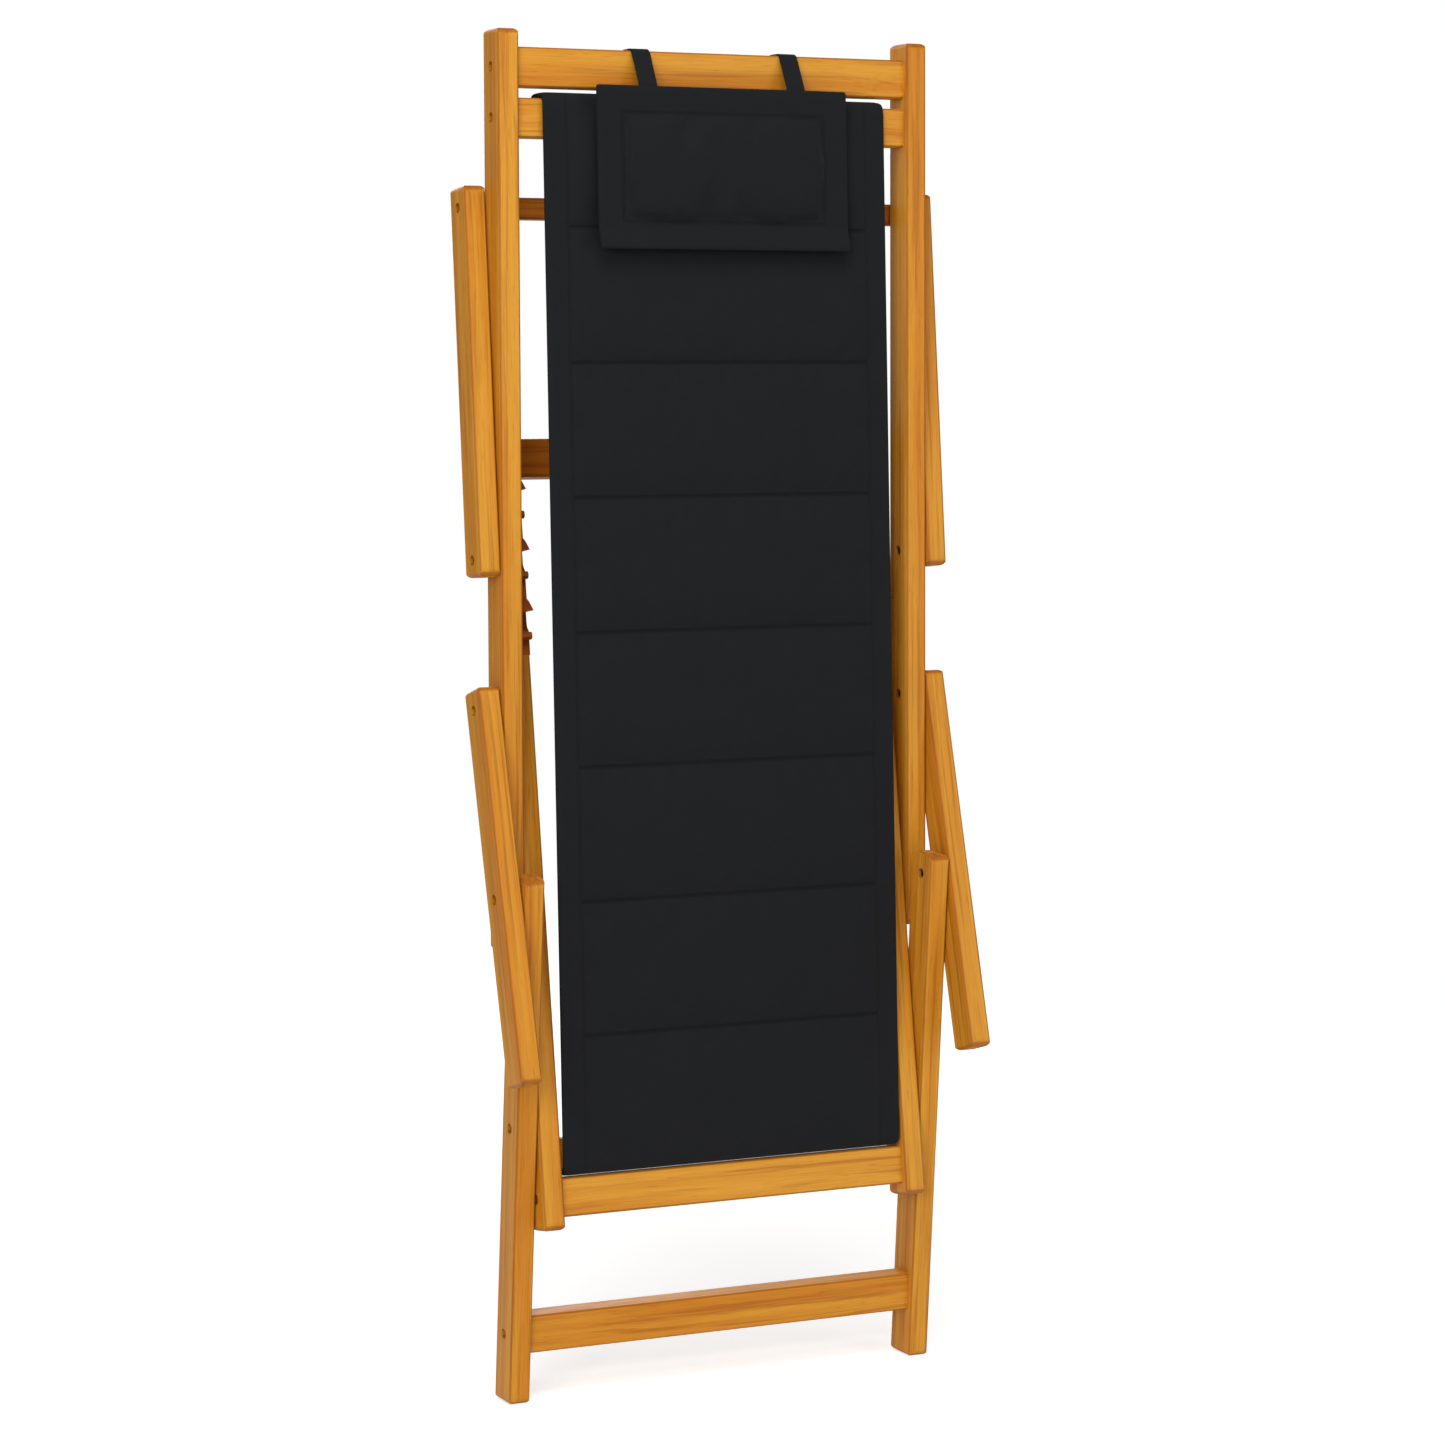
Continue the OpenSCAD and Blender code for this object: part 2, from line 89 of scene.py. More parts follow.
CAMERA_AT = Vector((-1.9876, -4.1735, 1.2003))
CAMERA_TURN = 25.548
CAMERA_DOWN = 4.62
CAMERA_LENS = 99.09
CAMERA_SHIFT = -0.03
SENSOR_WIDTH = 36
FAR_CLIP = 200
camera = bpy.data.objects.new("camera", bpy.data.cameras.new("camera"))
bpy.context.scene.collection.objects.link(camera)
bpy.context.scene.camera = camera
camera.location = CAMERA_AT
camera.rotation_euler = (math.radians(90 - CAMERA_DOWN), 0, math.radians(-CAMERA_TURN))
camera.data.lens = CAMERA_LENS
camera.data.sensor_width = SENSOR_WIDTH
camera.data.shift_y = CAMERA_SHIFT
camera.data.clip_end = FAR_CLIP

# ---- node trees ----


class Tree:
    """Adds shader nodes to a node tree."""

    def __init__(self, tree):
        self.tree = tree

    def add(self, kind, ins=None, **settings):
        node = self.tree.nodes.new("ShaderNode" + kind)
        for key, value in settings.items():
            setattr(node, key, value)
        for key, value in (ins or {}).items():
            if isinstance(value, bpy.types.NodeSocket):
                self.tree.links.new(value, node.inputs[key])
            else:
                node.inputs[key].default_value = value
        return node

    def math(self, operation, a, b=0.0):
        return self.add("Math", {0: a, 1: b}, operation=operation).outputs[0]

    def vector(self, operation, a, b=(0, 0, 0)):
        return self.add("VectorMath", {0: a, 1: b}, operation=operation).outputs[0]

    def split(self, vector):
        return self.add("SeparateXYZ", {0: vector}).outputs

    def noise(self, place, scale, detail=2.0, roughness=0.5):
        settings = {"Vector": place, "Scale": scale, "Detail": detail, "Roughness": roughness}
        return self.add("TexNoise", settings).outputs[0]

    def between(self, value, low, high, to_low=0.0, to_high=1.0):
        return self.add("MapRange", {"Value": value, "From Min": low, "From Max": high, "To Min": to_low,
                                     "To Max": to_high}, interpolation_type="SMOOTHSTEP").outputs[0]

    def mix(self, share, a, b):
        node = self.add("Mix", data_type="RGBA")
        for socket, value in zip((node.inputs[0], node.inputs[6], node.inputs[7]), (share, a, b)):
            if isinstance(value, bpy.types.NodeSocket):
                self.tree.links.new(value, socket)
            else:
                socket.default_value = value
        return node.outputs[2]


def node_group(name, ins, outs):
    """A new shader node group with its ends. ins and outs are (name, socket type, default)."""
    group = bpy.data.node_groups.new(name, "ShaderNodeTree")
    for direction, sockets in (("INPUT", ins), ("OUTPUT", outs)):
        for label, kind, default in sockets:
            socket = group.interface.new_socket(label, in_out=direction, socket_type="NodeSocket" + kind)
            if default is not None:
                socket.default_value = default
    start, end = group.nodes.new("NodeGroupInput"), group.nodes.new("NodeGroupOutput")
    return group, Tree(group), start.outputs, end.inputs


def colour(r, g, b):
    return (r, g, b, 1.0)


def new_material(name):
    material = bpy.data.materials.new(name)
    material.use_nodes = True
    tree = Tree(material.node_tree)
    shader = next(n for n in material.node_tree.nodes if n.type == "BSDF_PRINCIPLED")
    return material, tree, shader


# ---- timber ----


def make_timber_grain():
    """Long grain, fibres, pores, small knots, end grain, and eased edges darkened as painted shade."""
    group, t, start, end = node_group(
        "timber_grain",
        [("Place", "Vector", None), ("Facing", "Vector", None), ("Pale", "Color", colour(0.7, 0.42, 0.12)),
         ("Middle", "Color", colour(0.55, 0.27, 0.05)), ("Deep", "Color", colour(0.35, 0.13, 0.02)),
         ("Seed", "Float", 0.0)],
        [("Color", "Color", None), ("Roughness", "Float", None), ("Height", "Float", None)])
    seed = t.add("CombineXYZ", {0: start["Seed"], 1: start["Seed"], 2: start["Seed"]}).outputs[0]
    place = t.vector("ADD", start["Place"], seed)
    # Knots: a few cells of a stretched cell pattern hold one, and the grain swerves round it.
    stretched = t.vector("MULTIPLY", place, (9.0, 9.0, 3.2))
    cells = t.add("TexVoronoi", {"Vector": stretched, "Scale": 1.0}, feature="F1")
    chosen = t.math("GREATER_THAN", t.split(cells.outputs["Color"])[0], 0.78)
    knot = t.math("MULTIPLY", t.between(cells.outputs["Distance"], 0.035, 0.075, 1.0, 0.0), chosen)
    halo = t.math("MULTIPLY", t.between(cells.outputs["Distance"], 0.05, 0.30, 1.0, 0.0), chosen)
    drift = t.noise(t.vector("MULTIPLY", place, (10.0, 10.0, 2.2)), 1.0, 2.0)
    swerve = t.math("ADD", t.math("MULTIPLY", drift, 0.020), t.math("MULTIPLY", halo, 0.006))
    shift = t.add("CombineXYZ", {0: swerve, 1: swerve, 2: 0.0}).outputs[0]
    bent = t.vector("ADD", place, shift)
    bands = t.noise(t.vector("MULTIPLY", bent, (62.0, 62.0, 1.6)), 1.0, 2.0, 0.45)
    rings = t.noise(t.vector("MULTIPLY", bent, (210.0, 210.0, 3.2)), 1.0, 3.0, 0.55)
    fibres = t.noise(t.vector("MULTIPLY", bent, (1150.0, 1150.0, 14.0)), 1.0, 2.0, 0.6)
    pores = t.between(t.noise(t.vector("MULTIPLY", bent, (820.0, 820.0, 34.0)), 1.0, 1.0), 0.66, 0.74)
    body = t.mix(t.between(bands, 0.34, 0.68), start["Pale"], start["Middle"])
    streaked = t.mix(t.math("MULTIPLY", t.between(rings, 0.48, 0.72), 0.50), body, start["Deep"])
    fine = t.mix(t.math("MULTIPLY", t.between(fibres, 0.40, 0.70), 0.20), streaked, start["Deep"])
    pored = t.mix(t.math("MULTIPLY", pores, 0.30), fine, start["Deep"])
    knotted = t.mix(t.math("MULTIPLY", knot, 0.55), pored, start["Deep"])
    # A face across the grain shows rings and drinks more oil.
    x, y, z = t.split(t.vector("ABSOLUTE", start["Facing"]))[:3]
    across = t.between(z, 0.72, 0.93)
    ring_end = t.noise(t.vector("MULTIPLY", place, (260.0, 60.0, 60.0)), 1.0, 2.0, 0.5)
    end_tone = t.mix(t.between(ring_end, 0.35, 0.65), start["Middle"], start["Deep"])
    ended = t.mix(t.math("MULTIPLY", across, 0.62), knotted, end_tone)
    # A flat face looks along one axis; on an eased edge no part of the facing reaches 1, and there the
    # colour is darkened towards Deep as painted shade.
    squareness = t.math("MAXIMUM", t.math("MAXIMUM", x, y), z)
    painted_edge_shade = t.between(squareness, 0.80, 0.985, 1.0, 0.0)
    t.tree.links.new(t.mix(t.math("MULTIPLY", painted_edge_shade, 0.62), ended, start["Deep"]), end["Color"])
    rough = t.math("ADD", t.between(fibres, 0.3, 0.7, 0.40, 0.52), t.math("MULTIPLY", across, 0.16))
    t.tree.links.new(t.math("SUBTRACT", rough, t.math("MULTIPLY", painted_edge_shade, 0.05)), end["Roughness"])
    relief = t.math("SUBTRACT", t.math("MULTIPLY", fibres, 0.35), pores)
    t.tree.links.new(t.math("SUBTRACT", relief, t.math("MULTIPLY", knot, 0.6)), end["Height"])
    return group


timber_grain = make_timber_grain()

# The oiled wood's three shades, and a redder, darker multiplier for them that is painted shade: it stands
# for how the racks, rear cross rail and prop bar look in the shade of the frame and sling.
PALE = colour(0.630, 0.285, 0.024)
MIDDLE = colour(0.550, 0.198, 0.010)
DEEP = colour(0.260, 0.058, 0.002)
PAINTED_SHADE_TINT = (0.86, 0.60, 0.50)


def timber(name, lean=0.0, crosswise=False, seed=0.0, tone=(1.0, 1.0, 1.0)):
    """Oiled timber whose grain runs up a piece with this lean, or across the chair."""
    material, t, shader = new_material(name)
    spots = t.add("TexCoord")
    turned = []
    for output in ("Object", "Normal"):
        settings = {"Vector": spots.outputs[output], "Axis": (1, 0, 0), "Angle": math.radians(lean)}
        along = t.add("VectorRotate", settings, rotation_type="AXIS_ANGLE").outputs[0]
        if crosswise:
            x, y, z = t.split(along)[:3]
            along = t.add("CombineXYZ", {0: z, 1: y, 2: x}).outputs[0]
        turned.append(along)
    grain = t.add("Group", node_tree=timber_grain)
    t.tree.links.new(turned[0], grain.inputs["Place"])
    t.tree.links.new(turned[1], grain.inputs["Facing"])
    # A tone other than 1 darkens and reddens the shades, as painted shade.
    for label, shade in (("Pale", PALE), ("Middle", MIDDLE), ("Deep", DEEP)):
        grain.inputs[label].default_value = colour(*(k * c for k, c in zip(tone, shade)))
    grain.inputs["Seed"].default_value = seed
    t.tree.links.new(grain.outputs["Color"], shader.inputs["Base Color"])
    t.tree.links.new(grain.outputs["Roughness"], shader.inputs["Roughness"])
    bump = t.add("Bump", {"Height": grain.outputs["Height"], "Strength": 0.35, "Distance": 0.25 * MM})
    t.tree.links.new(bump.outputs[0], shader.inputs["Normal"])
    shader.inputs["Specular IOR Level"].default_value = 0.22
    return material


def dress(material, *nodes):
    for node in nodes:
        mesh = frame["nodes"][node].data
        mesh.materials.clear()
        mesh.materials.append(material)
        for face in mesh.polygons:
            face.material_index = 0


dress(timber("back_rail_timber", LEAN["back"], seed=0.3), "back_rail_left", "back_rail_right")
dress(timber("seat_rail_timber", LEAN["seat"], seed=1.7), "seat_rail_left", "seat_rail_right")
# The racks, rear cross rail and prop bar take the redder, darker tint, which is painted shade.
dress(timber("rack_timber_painted_shade", LEAN["seat"], seed=2.9, tone=PAINTED_SHADE_TINT), "notch_rack_left", "notch_rack_right")
dress(timber("leg_timber", LEAN["leg"], seed=4.1), "front_leg_left", "front_leg_right")
dress(timber("armrest_timber", LEAN["armrest"], seed=5.3), "armrest_left", "armrest_right")
dress(timber("prop_arm_timber", LEAN["prop"], seed=6.1), "prop_arm_left", "prop_arm_right")
dress(timber("head_rail_timber", LEAN["back"], True, seed=7.7), "head_rail", "sling_head_rail")
dress(timber("seat_cross_rail_timber", LEAN["seat"], True, seed=8.3), "knee_rail", "sling_knee_rail")
dress(timber("rear_cross_rail_timber_painted_shade", LEAN["seat"], True, seed=10.9, tone=PAINTED_SHADE_TINT), "rear_cross_rail")
dress(timber("stretcher_timber", LEAN["leg"], True, seed=9.1), "leg_stretcher")
dress(timber("prop_bar_timber_painted_shade", LEAN["prop"], True, seed=3.3, tone=PAINTED_SHADE_TINT), "prop_bar")


# ---- steel ----


def plated_steel_painted_shade():
    """Zinc-plated steel, dulled, coloured near-black and brownish as painted shade of the bolt holes,
    varying in cloudy patches, with turning marks.
    """
    material, t, shader = new_material("plated_steel_painted_shade")
    place = t.add("TexCoord").outputs["Object"]
    cloud = t.noise(place, 260.0, 3.0, 0.6)
    marks = t.noise(t.vector("MULTIPLY", place, (1.0, 9.0, 9.0)), 900.0, 2.0)
    # The near-black brown colours are painted shade of the recessed bolt heads, not the plating's own
    # colour.
    tone = t.mix(t.between(cloud, 0.40, 0.65), colour(0.060, 0.048, 0.040), colour(0.030, 0.018, 0.012))
    t.tree.links.new(tone, shader.inputs["Base Color"])
    t.tree.links.new(t.between(cloud, 0.3, 0.7, 0.38, 0.62), shader.inputs["Roughness"])
    bump = t.add("Bump", {"Height": marks, "Strength": 0.25, "Distance": 0.1 * MM})
    t.tree.links.new(bump.outputs[0], shader.inputs["Normal"])
    shader.inputs["Metallic"].default_value = 1.0
    return material


STEEL_NODES = [n for n in frame["nodes"] if any(w in n for w in ("screws", "bolt", "nut", "washer"))]
dress(plated_steel_painted_shade(), *STEEL_NODES)

# ---- cloth ----

THREAD_PITCH = 0.9 * MM


def make_woven_cloth():
    """A plain weave with slubs and a little lint. Place runs along both threads, in metres."""
    group, t, start, end = node_group(
        "woven_cloth",
        [("Place", "Vector", None), ("Thread", "Float", THREAD_PITCH),
         ("Dark", "Color", colour(0.01, 0.01, 0.011)), ("Light", "Color", colour(0.02, 0.02, 0.022)),
         ("Lint", "Float", 0.2)],
        [("Color", "Color", None), ("Roughness", "Float", None), ("Height", "Float", None)])
    u, v = t.split(start["Place"])[:2]
    turns = t.math("DIVIDE", math.pi, start["Thread"])
    across = t.math("SINE", t.math("MULTIPLY", u, turns))
    along = t.math("SINE", t.math("MULTIPLY", v, turns))
    over = t.math("MULTIPLY", across, along)
    round_u = t.math("ABSOLUTE", across)
    round_v = t.math("ABSOLUTE", along)
    which = t.between(over, -0.25, 0.25)
    threads = t.add("Mix", {0: which, 2: round_u, 3: round_v}, data_type="FLOAT").outputs[0]
    slubs = t.noise(t.vector("MULTIPLY", start["Place"], (60.0, 900.0, 1.0)), 1.0, 2.0)
    cloud = t.noise(start["Place"], 16.0, 3.0, 0.6)
    fluff = t.between(t.noise(start["Place"], 1500.0, 1.0), 0.70, 0.78)
    share = t.math("ADD", t.math("MULTIPLY", threads, 0.55), t.math("MULTIPLY", slubs, 0.25))
    share = t.math("ADD", share, t.math("MULTIPLY", cloud, 0.25))
    woven = t.mix(share, start["Dark"], start["Light"])
    linted = t.mix(t.math("MULTIPLY", fluff, start["Lint"]), woven, colour(0.030, 0.031, 0.034))
    t.tree.links.new(linted, end["Color"])
    t.tree.links.new(t.between(threads, 0.0, 1.0, 0.93, 0.80), end["Roughness"])
    t.tree.links.new(t.math("ADD", threads, t.math("MULTIPLY", slubs, 0.4)), end["Height"])
    return group


woven_cloth = make_woven_cloth()


def cloth(name, thread, dark, light, lint=0.2, relief=0.2 * MM, seams=None):
    """Woven cloth laid out by its thread map. seams draws a piece's stitches and creases in that map; the
    creases are dented, and darkened as painted shade.
    """
    material, t, shader = new_material(name)
    place = t.add("UVMap", uv_map="threads").outputs[0]
    weave = t.add("Group", {"Place": place, "Thread": thread, "Dark": dark, "Light": light, "Lint": lint},
                  node_tree=woven_cloth)
    tone, height = weave.outputs["Color"], weave.outputs["Height"]
    bump = t.add("Bump", {"Height": height, "Strength": 0.45, "Distance": relief})
    if seams:
        thread_line, crease_and_shade = seams(t, place)
        # Darkening along the creases is painted shade; the same mask dents the cloth through the fold bump.
        tone = t.mix(t.math("MULTIPLY", crease_and_shade, 0.62), tone, colour(0.0012, 0.0013, 0.0015))
        tone = t.mix(t.math("MULTIPLY", thread_line, 0.5), tone, light)
        fold = t.add("Bump", {"Height": crease_and_shade, "Strength": 0.9, "Distance": 1.1 * MM}, invert=True)
        t.tree.links.new(fold.outputs[0], bump.inputs["Normal"])
    t.tree.links.new(tone, shader.inputs["Base Color"])
    t.tree.links.new(weave.outputs["Roughness"], shader.inputs["Roughness"])
    t.tree.links.new(bump.outputs[0], shader.inputs["Normal"])
    shader.inputs["Specular IOR Level"].default_value = 0.12
    shader.inputs["Sheen Weight"].default_value = 0.03
    shader.inputs["Sheen Roughness"].default_value = 0.5
    return material


# The cloth's darkest and lightest threads.
INK = colour(0.0050, 0.0055, 0.0066)
CHARCOAL = colour(0.0112, 0.0119, 0.0140)


STITCH_PITCH = 3.4 * MM
STITCH_WIDTH = 0.9 * MM
CREASE_REACH = 3.4 * MM


def stitch_row(t, along, across, at):
    """A mask of dashes along a line where across equals at."""
    off = t.math("ABSOLUTE", t.math("SUBTRACT", across, at))
    line = t.between(off, 0.5 * STITCH_WIDTH, 0.7 * STITCH_WIDTH, 1.0, 0.0)
    dash = t.math("SINE", t.math("MULTIPLY", along, 2 * math.pi / STITCH_PITCH))
    return t.math("MULTIPLY", line, t.between(dash, -0.5, -0.2))


def crease_line(t, across, at):
    """A soft mask on both sides of a seam where across equals at."""
    off = t.math("ABSOLUTE", t.math("SUBTRACT", across, at))
    return t.between(off, 0.2 * MM, CREASE_REACH, 1.0, 0.0)


# ---- side-view paths ----


def up(lean):
    return np.array([math.sin(math.radians(lean)), math.cos(math.radians(lean))])


def back(lean):
    return np.array([math.cos(math.radians(lean)), -math.sin(math.radians(lean))])


def rail_size(node, lean):
    """(centre, half depth, half height) of a cross rail seen from the side, from its box."""
    low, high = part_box(node)
    centre = np.array([(low.y + high.y) / 2, (low.z + high.z) / 2])
    wide, tall = high.y - low.y, high.z - low.z
    c, s = math.cos(math.radians(lean)), abs(math.sin(math.radians(lean)))
    det = c * c - s * s
    return centre, (wide * c - tall * s) / det / 2, (tall * c - wide * s) / det / 2


def corner(centre, lean, x, z, radius, first, last, steps=8):
    """Points of an arc round (x, z) in a rail's own side view, between two angles in degrees."""
    out = []
    for k in range(steps + 1):
        a = math.radians(first + (last - first) * k / steps)
        out.append(centre + (x + radius * math.cos(a)) * back(lean) + (z + radius * math.sin(a)) * up(lean))
    return out


def local(centre, lean, x, z):
    return centre + x * back(lean) + z * up(lean)


def resample(points, step):
    """Evenly spaced points on a polyline, with their unit normals (to the left of the way along it)."""
    points = np.array(points)
    lengths = np.linalg.norm(np.diff(points, axis=0), axis=1)
    run = np.concatenate([[0.0], np.cumsum(lengths)])
    count = max(2, round(run[-1] / step))
    at = np.linspace(0, run[-1], count + 1)
    even = np.stack([np.interp(at, run, points[:, k]) for k in (0, 1)], 1)
    way = np.gradient(even, axis=0)
    way /= np.linalg.norm(way, axis=1)[:, None]
    return at, even, np.stack([way[:, 1], -way[:, 0]], 1)


# Radius of the rails' eased edges, air between cloth and timber, and slack in the lower turn.
EASE = 3.5 * MM
SKIN = 0.5 * MM
LOWER_TURN_SLACK = 0.8 * MM


# ---- sling ----

SEAMS = 7
FIRST_SEAM, SEAM_PITCH = 1.347, 0.1531
SLING_HALF = (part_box("sling_back")[1].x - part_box("sling_back")[0].x) / 2
QUILT_MARGIN = 28 * MM
QUILT_HALF = SLING_HALF - QUILT_MARGIN
ROW_STEP, COLUMN_STEP = 6.4 * MM, 7.6 * MM
# How far the quilting swells between two seams, in front and behind.
SWELL_FRONT, SWELL_REAR = 4.6 * MM, 2.0 * MM
SLING_PRESSURE, SLING_CAP, SLING_SHRINK = 2.0, 2.6 * MM, -0.012
SIM_FRAMES = 20
seam_heights = [FIRST_SEAM - k * SEAM_PITCH for k in range(SEAMS)]


def sling_path():
    """The middle of the sling's thickness, from its rear flap at the top to its rear flap at the bottom."""
    off = SKIN + 4 * MM
    top, depth, tall = rail_size("sling_head_rail", LEAN["back"])
    low, depth_low, tall_low = rail_size("sling_knee_rail", LEAN["seat"])
    radius = EASE + off
    x, z = depth - EASE, tall - EASE
    path = [local(top, LEAN["back"], depth + off, -tall / 2)]
    path += corner(top, LEAN["back"], x, z, radius, 0, 90)
    path += corner(top, LEAN["back"], -x, z, radius, 90, 180)
    x, z = depth_low - EASE, tall_low - EASE + LOWER_TURN_SLACK
    path += corner(low, LEAN["seat"], -x, -z, radius, 180, 270)
    path += corner(low, LEAN["seat"], x, -z, radius, 270, 360)
    path.append(local(low, LEAN["seat"], depth_low + off, tall_low / 2))
    return path


def smooth(value, low, high):
    t = min(1.0, max(0.0, (value - low) / (high - low)))
    return t * t * (3 - 2 * t)


def link_mesh(name, vertices, faces, maps=None):
    mesh = bpy.data.meshes.new(name)
    mesh.from_pydata([tuple(v) for v in vertices], [], faces)
    if maps is not None:
        layer = mesh.uv_layers.new(name="threads")
        for loop in mesh.loops:
            layer.data[loop.index].uv = maps[loop.vertex_index]
    piece = bpy.data.objects.new(name, mesh)
    bpy.context.scene.collection.objects.link(piece)
    for face in mesh.polygons:
        face.use_smooth = True
    return piece


def slab(name, rows, columns, point, uv):
    """A closed sheet of two faces joined round its rim. point(row, column, side) has a side of 1 or -1."""
    vertices, maps, faces = [], [], []
    for side in (1, -1):
        for i in range(rows):
            for j in range(columns):
                vertices.append(point(i, j, side))
                maps.append(uv(i, j))
    size = rows * columns
    for i in range(rows - 1):
        for j in range(columns - 1):
            a, b = i * columns + j, i * columns + j + 1
            c, d = b + columns, a + columns
            faces.append((a, d, c, b))
            faces.append((size + a, size + b, size + c, size + d))
    rim = list(range(columns))
    rim += [i * columns + columns - 1 for i in range(1, rows)]
    rim += [(rows - 1) * columns + j for j in range(columns - 2, -1, -1)]
    rim += [i * columns for i in range(rows - 2, 0, -1)]
    for k, a in enumerate(rim):
        b = rim[(k + 1) % len(rim)]
        faces.append((a, b, size + b, size + a))
    return link_mesh(name, vertices, faces, maps)


def puff_by_cloth(piece, pins, pressure, cap, shrink):
    """Fills a closed piece with air as cloth, holding the vertices whose pin is 1, and keeps the result."""
    group = piece.vertex_groups.new(name="held")
    for index, weight in enumerate(pins):
        if weight > 0:
            group.add([index], weight, "REPLACE")
    before = np.array([v.co for v in piece.data.vertices])
    cloth_modifier = piece.modifiers.new("filling", "CLOTH")
    settings = cloth_modifier.settings
    settings.quality = 6
    settings.mass = 0.25
    settings.tension_stiffness = settings.compression_stiffness = 22
    settings.shear_stiffness = 8
    settings.bending_stiffness = 0.6
    settings.tension_damping = settings.compression_damping = 12
    settings.vertex_group_mass = "held"
    settings.pin_stiffness = 1.0
    settings.use_pressure = True
    settings.uniform_pressure_force = pressure
    settings.shrink_min = shrink
    settings.effector_weights.gravity = 0
    cloth_modifier.collision_settings.use_collision = False
    cloth_modifier.collision_settings.use_self_collision = False
    scene = bpy.context.scene
    for number in range(1, SIM_FRAMES + 1):
        scene.frame_set(number)
    settled = piece.evaluated_get(bpy.context.evaluated_depsgraph_get()).to_mesh()
    after = np.array([v.co for v in settled.vertices])
    piece.modifiers.remove(cloth_modifier)
    moved = after - before
    far = np.linalg.norm(moved, axis=1)
    far[far < 1e-9] = 1e-9
    kept = before + moved * np.minimum(1.0, cap * np.tanh(far / cap) / far)[:, None]
    piece.data.vertices.foreach_set("co", kept.astype(np.float32).ravel())
    piece.data.update()
    scene.frame_set(1)


def refine(piece):
    bpy.context.view_layer.objects.active = piece
    modifier = piece.modifiers.new("refine", "SUBSURF")
    modifier.levels = modifier.render_levels = 1
    modifier.uv_smooth = "PRESERVE_BOUNDARIES"
    bpy.ops.object.modifier_apply(modifier=modifier.name)


def build_sling():
    at, path, normal = resample(sling_path(), ROW_STEP)
    rows = len(at)
    half_columns = round(SLING_HALF / COLUMN_STEP)
    xs = [SLING_HALF * k / half_columns for k in range(-half_columns, half_columns + 1)]
    front = [i for i in range(rows) if normal[i][0] < -0.9]
    first, last = front[0], front[-1]
    # The rows nearest to the seams lie exactly on them.
    seam_rows = [min(front, key=lambda i: abs(path[i][1] - z)) for z in seam_heights]
    ends = [at[first] - 4 * MM, at[last] + 4 * MM]
    lines = [ends[0]] + [at[i] for i in seam_rows] + [ends[1]]

    def filling(i, x, side):
        """How far one face stands from the middle at a row and an x, before the air goes in."""
        s = at[i]
        flap = 1.5 * MM + 1.3 * MM * smooth(min(s, at[-1] - s), 0.0, 0.03)
        gap = min(abs(s - line) for line in lines)
        arch = max(0.0, 1.0 - 2.0 * gap / SEAM_PITCH)
        quilted = math.sqrt(max(0.0, 1.0 - arch * arch)) * smooth(QUILT_HALF - abs(x), 0.0, 12 * MM)
        past_top = smooth(s, ends[0] - 10 * MM, ends[0] + 30 * MM)
        on_front = past_top * smooth(ends[1] + 10 * MM - s, 0.0, 40 * MM)
        rim = 1.0 - 0.35 * smooth(abs(x), SLING_HALF - 6 * MM, SLING_HALF)
        swell = SWELL_FRONT if side > 0 else SWELL_REAR
        return (flap + swell * quilted * on_front) * rim

    def point(i, j, side):
        x = xs[j]
        y, z = path[i] + side * filling(i, x, side) * normal[i]
        return (x, y, z)

    sling = slab("sling", rows, len(xs), point, lambda i, j: (xs[j], at[i]))
    pins = []
    for side in (1, -1):
        for i in range(rows):
            near_seam = min(abs(at[i] - line) for line in lines) < 3 * MM
            off_front = at[i] < ends[0] or at[i] > ends[1]
            for x in xs:
                pins.append(1.0 if near_seam or off_front or abs(x) > QUILT_HALF - 2 * MM else 0.0)
    puff_by_cloth(sling, pins, SLING_PRESSURE, SLING_CAP, SLING_SHRINK)
    refine(sling)
    return sling, at, seam_rows


def sling_seams(seam_at):
    def draw(t, place):
        u, v = t.split(place)[:2]
        wide = t.math("ABSOLUTE", u)
        inside = t.between(wide, QUILT_HALF - 1 * MM, QUILT_HALF + 1 * MM, 1.0, 0.0)
        thread_line = stitch_row(t, v, wide, SLING_HALF - 7 * MM)
        # The crease mask darkens the cloth as painted shade, as well as denting it.
        crease_and_shade = t.math("MULTIPLY", crease_line(t, wide, QUILT_HALF), 0.3)
        for s in seam_at:
            thread_line = t.math("MAXIMUM", thread_line, t.math("MULTIPLY", stitch_row(t, u, v, s), inside))
            crease_and_shade = t.math("MAXIMUM", crease_and_shade, t.math("MULTIPLY", crease_line(t, v, s), inside))
        return thread_line, crease_and_shade
    return draw


sling, sling_at, seam_rows = build_sling()
sling.data.materials.append(cloth("sling_cloth", THREAD_PITCH, INK, CHARCOAL,
                                  seams=sling_seams([sling_at[i] for i in seam_rows])))
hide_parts("sling_back", "sling_seat")
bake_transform(sling)

# ---- pillow ----

PILLOW_LIP = 6.0 * MM
PILLOW_BORDER = 31 * MM
PILLOW_STEP = 5.2 * MM
PILLOW_PRESSURE, PILLOW_CAP, PILLOW_SHRINK = 4.0, 6 * MM, -0.03


